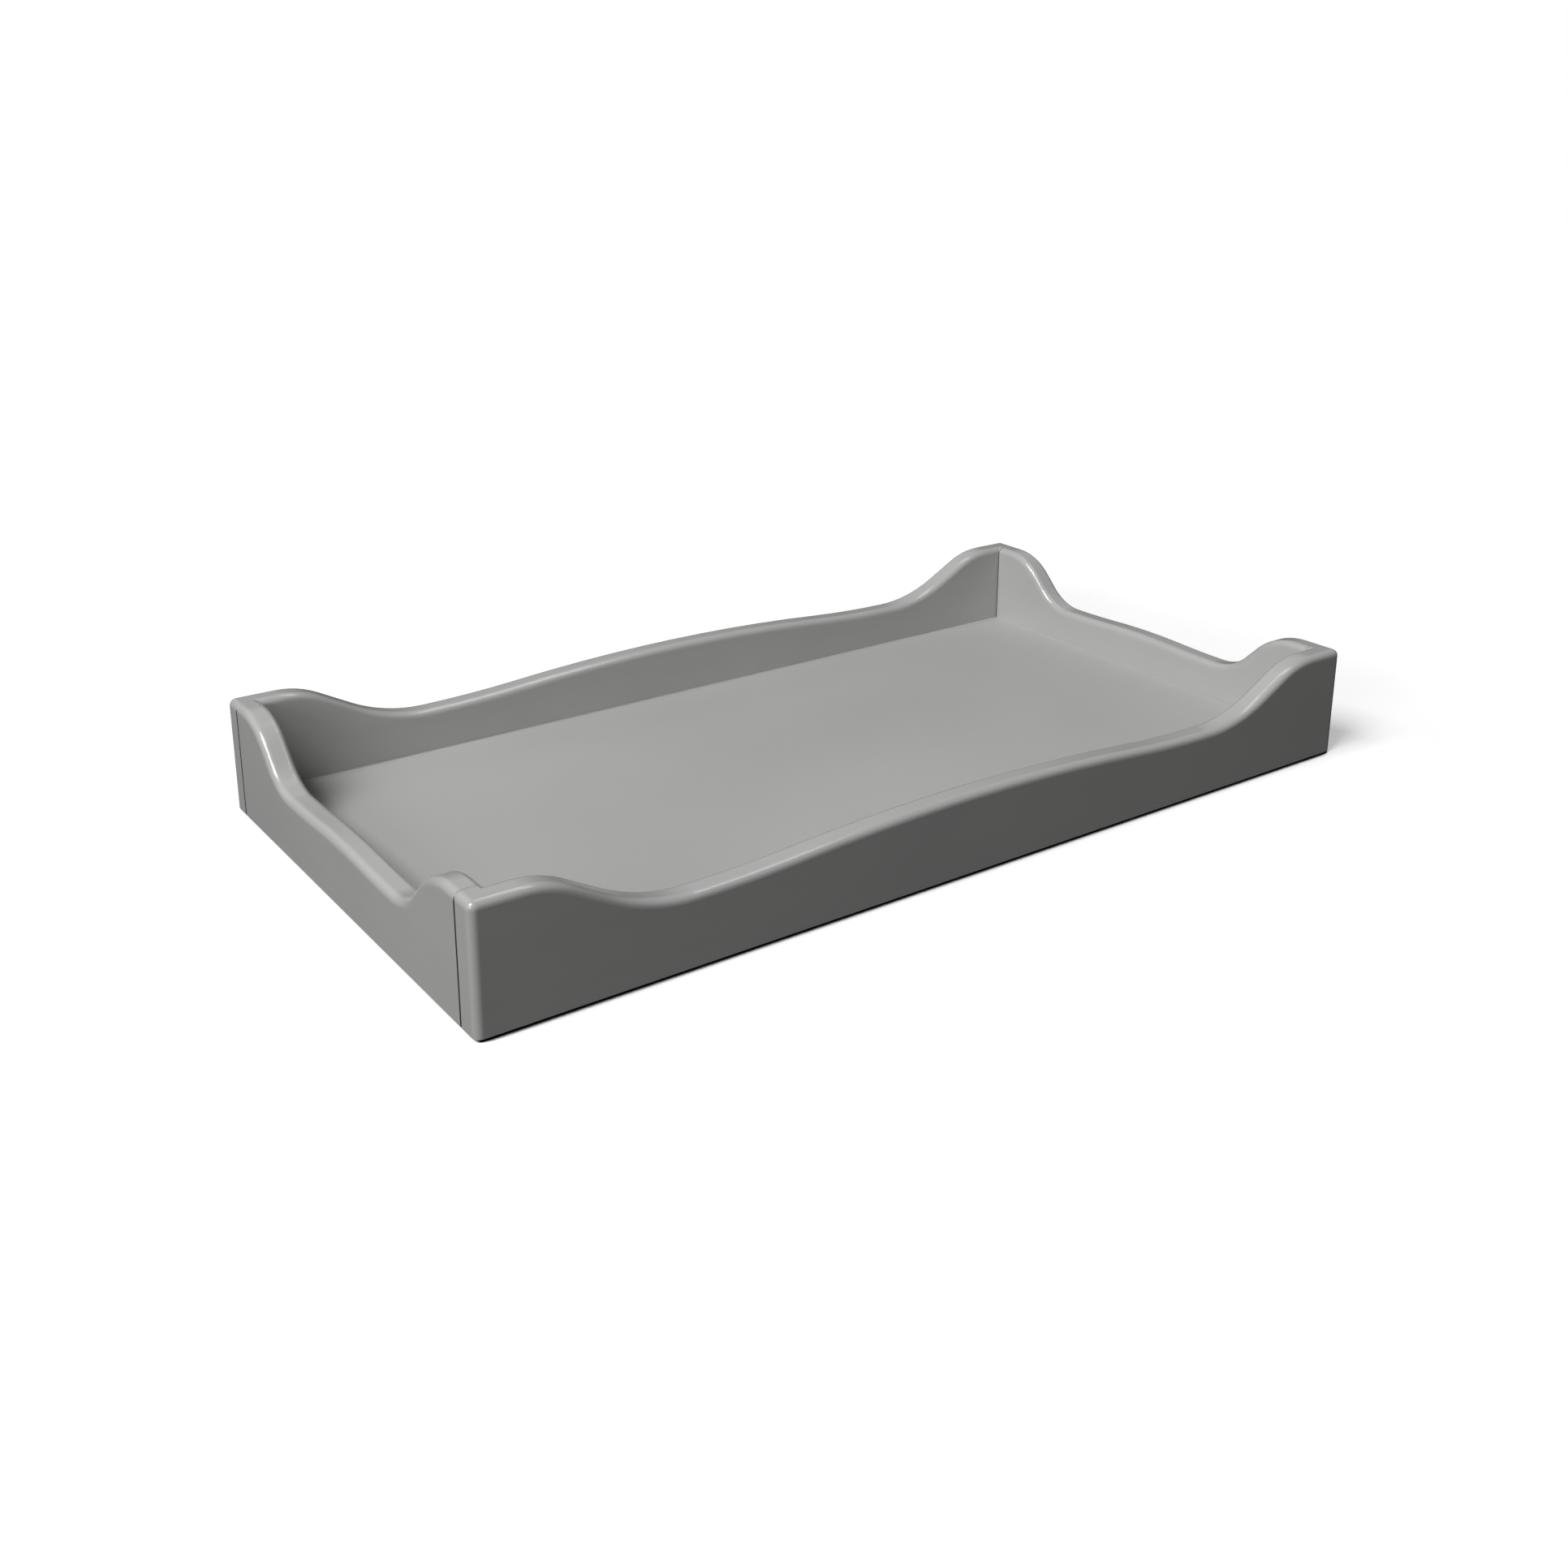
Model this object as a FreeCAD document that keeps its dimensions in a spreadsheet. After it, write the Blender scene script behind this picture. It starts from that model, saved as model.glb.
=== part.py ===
import FreeCAD, Part
import math
import os
import re

import Sketcher

# A painted wooden changing tray: a shallow open box whose four boards have a
# scalloped rim, with a thin floor panel let into grooves.  It stands on a
# chest of drawers and holds a contoured changing pad.
#
# Frame: +X along the tray to the right, +Y to the back, +Z up.  The origin is
# at the middle of the tray on the surface that it stands on.

doc = FreeCAD.newDocument("changing_tray")
Vector = FreeCAD.Vector

# ---------------------------------------------------------------- sizes (mm)

SIZES = [
    ("tray_length", 914.0, "over the end boards"),
    ("tray_width", 480.0, "over the long boards"),
    ("board_thickness", 23.0, "all four rim boards"),
    ("corner_height", 103.5, "boards at the corners, without the feet"),
    ("roundover", 6.35, "quarter-inch bit, along the rim and up the corners"),
    ("seam_ease", 1.0, "edges eased where a long board caps an end board"),
    ("long_corner_flat", 41.0, "level top of a long board at each end"),
    ("long_shoulder_radius", 81.0, "where the level top turns down"),
    ("long_slope", 28.5, "degrees down from level"),
    ("long_slope_run", 34.0, "straight part of the slope"),
    ("long_dip_radius", 147.0, "bottom of the dip"),
    ("long_crown_rise", 11.7, "middle of the rim above the low point"),
    ("long_hollow_share", 0.35, "part of the rise that still curves upwards"),
    ("end_corner_flat", 39.0, "level top, from the tray's long face"),
    ("end_shoulder_radius", 63.0, "where the level top turns down"),
    ("end_slope", 45.0, "degrees down from level"),
    ("end_slope_run", 18.5, "straight part of the slope"),
    ("end_dip_radius", 56.0, "bottom of the dip"),
    ("end_crown_rise", 2.8, "middle of the rim above the low point"),
    ("end_hollow_share", 0.55, "part of the rise that still curves upwards"),
    ("panel_thickness", 6.0, "plywood floor"),
    ("panel_lift", 13.5, "underside of the floor above the boards' lower edge"),
    ("groove_depth", 8.0, "floor groove in every board"),
    ("groove_slack", 0.3, "groove deeper than the panel, below it"),
    ("panel_gap", 0.5, "between the panel's edge and the groove's bottom"),
    ("dowel_diameter", 8.0, "fluted beech dowel, glued"),
    ("dowel_in_long_board", 14.0, "dowel length in the long board"),
    ("dowel_in_end_board", 26.0, "dowel length in the end board"),
    ("dowel_chamfer", 1.0, "both ends of a dowel"),
    ("dowel_end_gap", 1.0, "air left for glue at the bottom of each hole"),
    ("dowel_first_height", 30.0, "lowest dowel above the boards' lower edge"),
    ("dowel_spacing", 23.0, "from dowel to dowel"),
    ("dowel_count", 3.0, "dowels in each corner"),
    ("batten_width", 40.0, "cross batten under the floor"),
    ("batten_height", 12.0, "cross batten under the floor"),
    ("batten_offset", 145.0, "middle of the tray to the middle of a batten"),
    ("batten_ease", 1.5, "lower edges of a batten"),
    ("housing_depth", 6.0, "slot in a long board for a batten's end"),
    ("housing_gap", 0.3, "between a batten's end and its slot, glued"),
    ("block_leg", 55.0, "corner block along each board"),
    ("block_tip", 8.0, "blunt tips of a corner block"),
    ("block_height", 12.0, "corner block"),
    ("block_grip", 17.0, "wood under a screw head in a corner block"),
    ("screw_offset", 34.0, "inside corner to a screw's axis"),
    ("screw_shank", 3.5, "screw diameter"),
    ("screw_length", 30.0, "below the head"),
    ("screw_head", 7.0, "pan head diameter"),
    ("screw_head_height", 2.4, "pan head"),
    ("screw_recess", 1.0, "width of the cross recess"),
    ("screw_recess_depth", 1.4, "depth of the cross recess"),
    ("screw_play", 0.25, "round a shank in a block and round a head, per side"),
    ("foot_diameter", 18.0, "stick-on pad"),
    ("foot_height", 2.0, "stick-on pad"),
    ("foot_inset", 40.0, "tray end to the middle of a corner pad"),
    ("pilot_diameter", 3.0, "hole for a safety plate's screw"),
    ("pilot_depth", 14.0, "hole for a safety plate's screw"),
    ("pilot_offset", 250.0, "middle of the tray to each pair of holes"),
    ("pilot_below_rim", 12.0, "rim's lowest point down to the upper hole"),
    ("pilot_spacing", 20.0, "upper hole down to lower hole"),
]
NAMES = sorted((name for name, value, note in SIZES), key=len, reverse=True)
WORDS = re.compile(r"\b(" + "|".join(NAMES) + r")\b")


def make_sheet():
    """The spreadsheet that every dimension of the document is bound to."""
    sheet = doc.addObject("Spreadsheet::Sheet", "Sizes")
    for row, (name, value, note) in enumerate(SIZES, start=1):
        sheet.set("A%d" % row, name)
        sheet.set("B%d" % row, str(value))
        sheet.set("C%d" % row, note)
        sheet.setAlias("B%d" % row, name)
    doc.recompute()
    return sheet


sheet = make_sheet()
SIZE = {name: float(sheet.get(name)) for name, value, note in SIZES}


def bind(thing, prop, formula):
    """Bind a property to a formula written with the sheet's own names."""
    thing.setExpression(prop, WORDS.sub(r"Sizes.\1", formula))


def place(thing, x="0", y="0", z="0", axis=Vector(0, 0, 1), angle=0.0):
    """Put a sub-part at its place; x, y and z are formulas."""
    thing.Placement = FreeCAD.Placement(Vector(), FreeCAD.Rotation(axis, angle))
    bind(thing, "Placement.Base.x", x)
    bind(thing, "Placement.Base.y", y)
    bind(thing, "Placement.Base.z", z)


# ------------------------------------------------------------- small helpers

def new_body(label):
    body = doc.addObject("PartDesign::Body", label)
    body.Label = label
    return body


def origin_plane(body, role):
    for item in body.Origin.OriginFeatures:
        if item.Role == role:
            return item
    raise ValueError("no plane called " + role)


def new_sketch(body, name, role):
    sketch = body.newObject("Sketcher::SketchObject", name)
    sketch.AttachmentSupport = [(origin_plane(body, role), "")]
    sketch.MapMode = "FlatFace"
    return sketch


def limit(sketch, formula, kind, *where):
    """Add a dimension to a sketch and bind it to a formula."""
    index = sketch.addConstraint(Sketcher.Constraint(kind, *where))
    name = "d%d" % index
    sketch.renameConstraint(index, name)
    bind(sketch, "Constraints." + name, formula)


def line(sketch, start, end):
    return sketch.addGeometry(Part.LineSegment(Vector(*start), Vector(*end)), False)


def arc(sketch, centre, radius, from_deg, to_deg):
    circle = Part.Circle(Vector(*centre), Vector(0, 0, 1), radius)
    geometry = Part.ArcOfCircle(circle, math.radians(from_deg), math.radians(to_deg))
    return sketch.addGeometry(geometry, False)


def join(sketch, first, first_end, second, second_end, kind="Coincident"):
    sketch.addConstraint(Sketcher.Constraint(kind, first, first_end, second, second_end))


def set_level(sketch, *lines):
    for item in lines:
        sketch.addConstraint(Sketcher.Constraint("Horizontal", item))


def set_upright(sketch, *lines):
    for item in lines:
        sketch.addConstraint(Sketcher.Constraint("Vertical", item))


def closed_outline(sketch, points):
    """Straight lines through the points and back to the first one."""
    pairs = list(zip(points, points[1:] + points[:1]))
    lines = [line(sketch, start + (0,), end + (0,)) for start, end in pairs]
    for here, after in zip(lines, lines[1:] + lines[:1]):
        join(sketch, here, 2, after, 1)
    return lines


def pad(body, sketch, formula, reverse=False):
    feature = body.newObject("PartDesign::Pad", sketch.Name + "_pad")
    feature.Profile = sketch
    feature.Reversed = reverse
    bind(feature, "Length", formula)
    doc.recompute()
    return feature


def edges_where(shape, test):
    """Names of the edges whose ends and middle all pass the test."""
    names = []
    for number, edge in enumerate(shape.Edges, start=1):
        first, last = edge.ParameterRange
        spots = [edge.valueAt(first + (last - first) * step) for step in (0.0, 0.5, 1.0)]
        if all(test(spot) for spot in spots):
            names.append("Edge%d" % number)
    return names


def dress(body, kind, name, prop, formula, test):
    """Round or chamfer the edges that pass the test."""
    base = body.Tip
    feature = body.newObject("PartDesign::" + kind, name)
    feature.Base = (base, edges_where(base.Shape, test))
    bind(feature, prop, formula)
    doc.recompute()
    return feature


def cut_box(body, name, sizes, corner):
    """Cut a box away; its three sizes and its lowest corner are formulas."""
    before = body.Tip.Shape.Volume
    box = body.newObject("PartDesign::SubtractiveBox", name)
    box.AttachmentSupport = [(origin_plane(body, "XY_Plane"), "")]
    box.MapMode = "FlatFace"
    for prop, formula in zip(("Length", "Width", "Height"), sizes):
        bind(box, prop, formula)
    for axis, formula in zip("xyz", corner):
        bind(box, "AttachmentOffset.Base." + axis, formula)
    doc.recompute()
    assert body.Shape.Volume < before - 1.0, name + " cuts nothing"


def drill(body, name, diameter, depth, mouth, rotation):
    """Drill a round hole; the rotation turns +Z to point into the wood."""
    before = body.Tip.Shape.Volume
    hole = body.newObject("PartDesign::SubtractiveCylinder", name)
    hole.AttachmentSupport = [(origin_plane(body, "XY_Plane"), "")]
    hole.MapMode = "FlatFace"
    hole.AttachmentOffset = FreeCAD.Placement(Vector(), rotation)
    bind(hole, "Radius", "(%s) / 2" % diameter)
    bind(hole, "Height", depth)
    for axis, formula in zip("xyz", mouth):
        bind(hole, "AttachmentOffset.Base." + axis, formula)
    doc.recompute()
    assert body.Shape.Volume < before - 1.0, name + " cuts nothing"


TO_PLUS_X = FreeCAD.Rotation(Vector(0, 1, 0), 90)
TO_MINUS_X = FreeCAD.Rotation(Vector(0, 1, 0), -90)
TO_PLUS_Y = FreeCAD.Rotation(Vector(1, 0, 0), -90)
TO_MINUS_Y = FreeCAD.Rotation(Vector(1, 0, 0), 90)
NEAR = 0.01

# ------------------------------------------------------------ scalloped rims

def rim_formulas(kind, half, flat):
    """The curve of a rim from a board's end to its middle, as formulas.

    The level top turns down over the shoulder, runs straight down the slope
    and levels out at the low point of the dip.  From there a hollow and a
    crown, tangent to each other, share the gentle rise to the middle.
    """
    shape = {name: "%s_%s" % (kind, name) for name in (
        "shoulder_radius", "slope", "slope_run", "dip_radius", "crown_rise", "hollow_share")}
    shape["half"] = half
    shape["flat"] = flat
    shape["low_at"] = ("({flat} + ({shoulder_radius} + {dip_radius}) * sin({slope} * 1 deg)"
                       " + {slope_run} * cos({slope} * 1 deg))").format(**shape)
    shape["low_height"] = ("(corner_height - ({shoulder_radius} + {dip_radius})"
                           " * (1 - cos({slope} * 1 deg))"
                           " - {slope_run} * sin({slope} * 1 deg))").format(**shape)
    shape["sweep"] = ("((({half} - {low_at})^2 + {crown_rise}^2)"
                      " / (2 * {crown_rise}))").format(**shape)
    shape["hollow_radius"] = "{hollow_share} * {sweep}".format(**shape)
    shape["crown_radius"] = "(1 - {hollow_share}) * {sweep}".format(**shape)
    return shape


def rim_numbers(kind, half, flat):
    """The same curve as numbers, to draw the sketch close to its solution."""
    at = {name: SIZE["%s_%s" % (kind, name)] for name in (
        "shoulder_radius", "slope", "slope_run", "dip_radius", "crown_rise", "hollow_share")}
    top = SIZE["corner_height"]
    slope = math.radians(at["slope"])
    turned = (flat + at["shoulder_radius"] * math.sin(slope),
              top - at["shoulder_radius"] * (1 - math.cos(slope)))
    foot = (turned[0] + at["slope_run"] * math.cos(slope),
            turned[1] - at["slope_run"] * math.sin(slope))
    low = (foot[0] + at["dip_radius"] * math.sin(slope),
           foot[1] - at["dip_radius"] * (1 - math.cos(slope)))
    run = half - low[0]
    sweep = (run ** 2 + at["crown_rise"] ** 2) / (2 * at["crown_rise"])
    at.update(turned=turned, foot=foot, low=low,
              lean=math.degrees(math.asin(run / sweep)),
              hollow_radius=at["hollow_share"] * sweep,
              crown_radius=(1 - at["hollow_share"]) * sweep)
    return at


def draw_rim_side(sketch, at, half, flat, side):
    """One side of the rim, side -1 on the left and +1 on the right.

    Returns the flat, shoulder, slope, dip and hollow.
    """
    def spot(point):
        return (side * (half - point[0]), point[1], 0)

    def swing(upright, turn):
        """The two angles of an arc that starts level, mirrored by side."""
        return sorted((upright, upright + side * turn))

    top = SIZE["corner_height"]
    ends = [spot((0, top)), spot((flat, top))]
    slope_ends = [spot(at["turned"]), spot(at["foot"])]
    if side > 0:
        ends.reverse()
        slope_ends.reverse()
    flat_line = line(sketch, *ends)
    shoulder = arc(sketch, spot((flat, top - at["shoulder_radius"])), at["shoulder_radius"],
                   *swing(90, at["slope"]))
    slope = line(sketch, *slope_ends)
    dip = arc(sketch, spot((at["low"][0], at["low"][1] + at["dip_radius"])), at["dip_radius"],
              *swing(270, at["slope"]))
    hollow = arc(sketch, spot((at["low"][0], at["low"][1] + at["hollow_radius"])),
                 at["hollow_radius"], *swing(270, -at["lean"]))
    return flat_line, shoulder, slope, dip, hollow


def tie_rim_side(sketch, pieces, rim, side):
    """Tangent joints and dimensions of one side of the rim."""
    flat_line, shoulder, slope, dip, hollow = pieces
    inner, outer = (2, 1) if side < 0 else (1, 2)
    join(sketch, flat_line, inner, shoulder, inner, "Tangent")
    join(sketch, shoulder, outer, slope, outer, "Tangent")
    join(sketch, slope, inner, dip, outer, "Tangent")
    join(sketch, dip, inner, hollow, outer, "Tangent")
    set_level(sketch, flat_line)
    limit(sketch, rim["flat"], "Distance", flat_line, sketch.Geometry[flat_line].length())
    limit(sketch, rim["shoulder_radius"], "Radius", shoulder, sketch.Geometry[shoulder].Radius)
    limit(sketch, "%d * %s * 1 deg" % (side, rim["slope"]), "Angle", slope,
          math.radians(side * SIZE[rim["slope"]]))
    limit(sketch, rim["slope_run"], "Distance", slope, sketch.Geometry[slope].length())
    limit(sketch, rim["dip_radius"], "Radius", dip, sketch.Geometry[dip].Radius)
    sketch.addConstraint(Sketcher.Constraint("Vertical", dip, 3, dip, inner))
    limit(sketch, rim["hollow_radius"], "Radius", hollow, sketch.Geometry[hollow].Radius)


def rim_board_outline(body, name, role, kind, half_formula, half, flat_formula, flat):
    """The face of a rim board: a straight lower edge, upright ends, the rim."""
    sketch = new_sketch(body, name, role)
    rim = rim_formulas(kind, half_formula, flat_formula)
    at = rim_numbers(kind, half, flat)
    top = SIZE["corner_height"]
    base = line(sketch, (-half, 0, 0), (half, 0, 0))
    left_end = line(sketch, (-half, 0, 0), (-half, top, 0))
    right_end = line(sketch, (half, top, 0), (half, 0, 0))
    left = draw_rim_side(sketch, at, half, flat, -1)
    right = draw_rim_side(sketch, at, half, flat, 1)
    crown_top = at["low"][1] + at["crown_rise"]
    crown = arc(sketch, (0, crown_top - at["crown_radius"], 0), at["crown_radius"],
                90 - at["lean"], 90 + at["lean"])
    join(sketch, base, 1, left_end, 1)
    join(sketch, left_end, 2, left[0], 1)
    join(sketch, right[0], 2, right_end, 1)
    join(sketch, right_end, 2, base, 2)
    set_level(sketch, base)
    set_upright(sketch, left_end, right_end)
    sketch.addConstraint(Sketcher.Constraint("Symmetric", base, 1, base, 2, -1, 1))
    limit(sketch, "2 * (%s)" % half_formula, "Distance", base, 2 * half)
    limit(sketch, "corner_height", "Distance", left_end, top)
    tie_rim_side(sketch, left, rim, -1)
    tie_rim_side(sketch, right, rim, 1)
    join(sketch, left[4], 2, crown, 2, "Tangent")
    join(sketch, right[4], 1, crown, 1, "Tangent")
    limit(sketch, rim["crown_radius"], "Radius", crown, at["crown_radius"])
    doc.recompute()
    return sketch

# --------------------------------------------------------------- long boards

# Both long boards are the same piece.  It is drawn with its outer face on the
# XZ plane, its thickness towards +Y and its lower edge on z = 0.

LONG_HALF = "tray_length / 2"
SHORT_HALF = "(tray_width / 2 - board_thickness)"


def add_corner_heads(body):
    """Square the inner arris again where the end boards meet a long board.

    The inner edge was rounded along the whole board.  Over each end board the
    top is level instead, and rounded down along that board's inner face, so
    the two rounded edges meet in a mitre.
    """
    half = SIZE["tray_length"] / 2
    inside = half - SIZE["board_thickness"]
    top = SIZE["corner_height"]
    radius = SIZE["roundover"]
    sketch = new_sketch(body, body.Name + "_heads", "XZ_Plane")
    for side in (-1, 1):
        outer_line = line(sketch, (side * half, top - 2 * radius, 0), (side * half, top, 0))
        top_line = line(sketch, (side * half, top, 0), (side * (inside + radius), top, 0))
        turn = (0, 90) if side < 0 else (90, 180)
        bend = arc(sketch, (side * (inside + radius), top - radius, 0), radius, *turn)
        inner_line = line(sketch, (side * inside, top - radius, 0),
                          (side * inside, top - 2 * radius, 0))
        low_line = line(sketch, (side * inside, top - 2 * radius, 0),
                        (side * half, top - 2 * radius, 0))
        bend_top, bend_foot = (2, 1) if side < 0 else (1, 2)
        join(sketch, outer_line, 2, top_line, 1)
        join(sketch, top_line, 2, bend, bend_top, "Tangent")
        join(sketch, bend, bend_foot, inner_line, 1, "Tangent")
        join(sketch, inner_line, 2, low_line, 1)
        join(sketch, low_line, 2, outer_line, 1)
        set_level(sketch, top_line, low_line)
        set_upright(sketch, outer_line)
        limit(sketch, "roundover", "Radius", bend, radius)
        limit(sketch, "board_thickness", "Distance", low_line, half - inside)
        limit(sketch, "2 * roundover", "Distance", outer_line, 2 * radius)
        limit(sketch, "%d * tray_length / 2" % side, "DistanceX", -1, 1, outer_line, 2, side * half)
        limit(sketch, "corner_height", "DistanceY", -1, 1, outer_line, 2, top)
    doc.recompute()
    pad(body, sketch, "board_thickness", reverse=True)


def seam_path(body, name, side):
    """Up the end of a long board, round its corner and along its level top."""
    half = SIZE["tray_length"] / 2
    top = SIZE["corner_height"]
    radius = SIZE["roundover"]
    run_end = half - SIZE["board_thickness"] + radius
    path = new_sketch(body, name + "_path", "XZ_Plane")
    rise = line(path, (side * half, 0, 0), (side * half, top - radius, 0))
    turn = (90, 180) if side < 0 else (0, 90)
    bend = arc(path, (side * (half - radius), top - radius, 0), radius, *turn)
    run = line(path, (side * (half - radius), top, 0), (side * run_end, top, 0))
    bend_foot, bend_top = (2, 1) if side < 0 else (1, 2)
    join(path, rise, 2, bend, bend_foot, "Tangent")
    join(path, bend, bend_top, run, 1, "Tangent")
    set_upright(path, rise)
    set_level(path, run)
    path.addConstraint(Sketcher.Constraint("PointOnObject", rise, 1, -1))
    limit(path, "roundover", "Radius", bend, radius)
    limit(path, "%d * tray_length / 2" % side, "DistanceX", -1, 1, rise, 1, side * half)
    limit(path, "corner_height", "DistanceY", -1, 1, run, 2, top)
    limit(path, "board_thickness - 2 * roundover", "Distance", run, half - radius - run_end)
    return path


def ease_seam(body, side):
    """Ease the arris of a long board along its joint with an end board.

    A small V runs up the board's end, round the corner and over the level top.
    """
    half = SIZE["tray_length"] / 2
    thick = SIZE["board_thickness"]
    ease = SIZE["seam_ease"]
    name = body.Name + ("_left_seam" if side < 0 else "_right_seam")
    path = seam_path(body, name, side)
    notch = new_sketch(body, name + "_notch", "XY_Plane")
    outer = side * (half + ease)
    corners = [(outer, thick + ease), (side * (half - 2 * ease), thick + ease),
               (outer, thick - 2 * ease)]
    across, slant, along = closed_outline(notch, corners)
    set_level(notch, across)
    set_upright(notch, along)
    limit(notch, "3 * seam_ease", "Distance", across, 3 * ease)
    limit(notch, "3 * seam_ease", "Distance", along, 3 * ease)
    limit(notch, "%d * (tray_length / 2 + seam_ease)" % side,
          "DistanceX", -1, 1, across, 1, outer)
    limit(notch, "board_thickness + seam_ease", "DistanceY", -1, 1, across, 1, thick + ease)
    before = body.Tip.Shape.Volume
    sweep = body.newObject("PartDesign::SubtractivePipe", name)
    sweep.Profile = notch
    sweep.Spine = (path, [])
    doc.recompute()
    assert body.Shape.Volume < before - 1.0, name + " cuts nothing"


def make_long_board(label):
    body = new_body(label)
    half = SIZE["tray_length"] / 2
    thick = SIZE["board_thickness"]
    top = SIZE["corner_height"]
    sketch = rim_board_outline(body, label + "_outline", "XZ_Plane", "long",
                               LONG_HALF, half, "long_corner_flat", SIZE["long_corner_flat"])
    pad(body, sketch, "board_thickness", reverse=True)

    def on_rim(spot):
        return spot.z > NEAR and abs(spot.x) < half + NEAR

    def inner_rim(spot):
        return on_rim(spot) and abs(spot.y - thick) < NEAR and not end_edge(spot)

    def end_edge(spot):
        return abs(abs(spot.x) - half) < NEAR and spot.z < top - NEAR

    def outer_edges(spot):
        outer_rim = on_rim(spot) and abs(spot.y) < NEAR
        end_top = abs(abs(spot.x) - half) < NEAR and spot.z > top - NEAR
        end_side = abs(abs(spot.x) - half) < NEAR and abs(spot.y) < NEAR
        return outer_rim or end_top or end_side

    dress(body, "Fillet", label + "_inner_round", "Radius", "roundover", inner_rim)
    add_corner_heads(body)
    dress(body, "Fillet", label + "_outer_round", "Radius", "roundover", outer_edges)
    for side in (-1, 1):
        ease_seam(body, side)
    cut_long_board(body, label)
    return body


def cut_long_board(body, label):
    """Floor groove, batten slots, dowel and screw holes of a long board."""
    inner_length = "(tray_length - 2 * board_thickness)"
    cut_box(body, label + "_groove",
            ("%s + 2 * groove_depth" % inner_length, "groove_depth",
             "panel_thickness + groove_slack"),
            ("-%s / 2 - groove_depth" % inner_length, "board_thickness - groove_depth",
             "panel_lift - groove_slack"))
    for word, side in (("left", -1), ("right", 1)):
        cut_box(body, "%s_%s_slot" % (label, word),
                ("batten_width", "housing_depth", "panel_lift"),
                ("%d * batten_offset - batten_width / 2" % side,
                 "board_thickness - housing_depth", "0"))
        for step in range(int(SIZE["dowel_count"])):
            drill(body, "%s_%s_dowel_hole_%d" % (label, word, step + 1),
                  "dowel_diameter", "dowel_in_long_board + dowel_end_gap",
                  ("%d * (tray_length - board_thickness) / 2" % side, "board_thickness",
                   "dowel_first_height + %d * dowel_spacing" % step), TO_MINUS_Y)
        drill(body, "%s_%s_screw_hole" % (label, word),
              "screw_shank", "screw_length - block_grip",
              ("%d * (tray_length / 2 - board_thickness - screw_offset)" % side,
               "board_thickness", "panel_lift - block_height / 2"), TO_MINUS_Y)


def drill_pilot_holes(body):
    """Two pairs of holes in the outer face, for the plates that stop the
    tray from tipping off the furniture."""
    rim = rim_formulas("long", LONG_HALF, "long_corner_flat")
    for word, side in (("left", -1), ("right", 1)):
        for step in range(2):
            drill(body, "%s_pilot_hole_%d" % (word, step + 1), "pilot_diameter", "pilot_depth",
                  ("%d * pilot_offset" % side, "0", "%s - pilot_below_rim - %d * pilot_spacing"
                   % (rim["low_height"], step)), TO_PLUS_Y)


# ---------------------------------------------------------------- end boards

# An end board stands between the long boards.  It is drawn with its outer
# face on the YZ plane and its thickness towards +X.

def make_end_board(label):
    body = new_body(label)
    half = SIZE["tray_width"] / 2 - SIZE["board_thickness"]
    thick = SIZE["board_thickness"]
    radius = SIZE["roundover"]
    flat = SIZE["end_corner_flat"] - thick
    sketch = rim_board_outline(body, label + "_outline", "YZ_Plane", "end", SHORT_HALF, half,
                               "(end_corner_flat - board_thickness)", flat)
    pad(body, sketch, "board_thickness")

    def rim_edges(spot):
        on_face = abs(spot.x) < NEAR or abs(spot.x - thick) < NEAR
        return on_face and spot.z > NEAR and not upright(spot)

    def upright(spot):
        return abs(abs(spot.y) - half) < NEAR and spot.z < SIZE["corner_height"] - NEAR

    def seam(spot):
        return (abs(abs(spot.y) - half) < NEAR and spot.x < thick - radius + NEAR
                and (spot.z > NEAR or spot.x < NEAR))

    dress(body, "Fillet", label + "_round", "Radius", "roundover", rim_edges)
    dress(body, "Chamfer", label + "_seam", "Size", "seam_ease", seam)
    cut_end_board(body, label)
    return body


def cut_end_board(body, label):
    """Floor groove, dowel and screw holes of an end board."""
    length = "(tray_width - 2 * board_thickness)"
    cut_box(body, label + "_groove",
            ("groove_depth", length, "panel_thickness + groove_slack"),
            ("board_thickness - groove_depth", "-%s / 2" % length, "panel_lift - groove_slack"))
    for word, side, into_wood in (("near", -1, TO_PLUS_Y), ("far", 1, TO_MINUS_Y)):
        for step in range(int(SIZE["dowel_count"])):
            drill(body, "%s_%s_dowel_hole_%d" % (label, word, step + 1),
                  "dowel_diameter", "dowel_in_end_board + dowel_end_gap",
                  ("board_thickness / 2", "%d * %s / 2" % (side, length),
                   "dowel_first_height + %d * dowel_spacing" % step), into_wood)
        drill(body, "%s_%s_screw_hole" % (label, word),
              "screw_shank", "screw_length - block_grip",
              ("board_thickness", "%d * (%s / 2 - screw_offset)" % (side, length),
               "panel_lift - block_height / 2"), TO_MINUS_X)


# ------------------------------------------------------------ floor, battens

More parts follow.
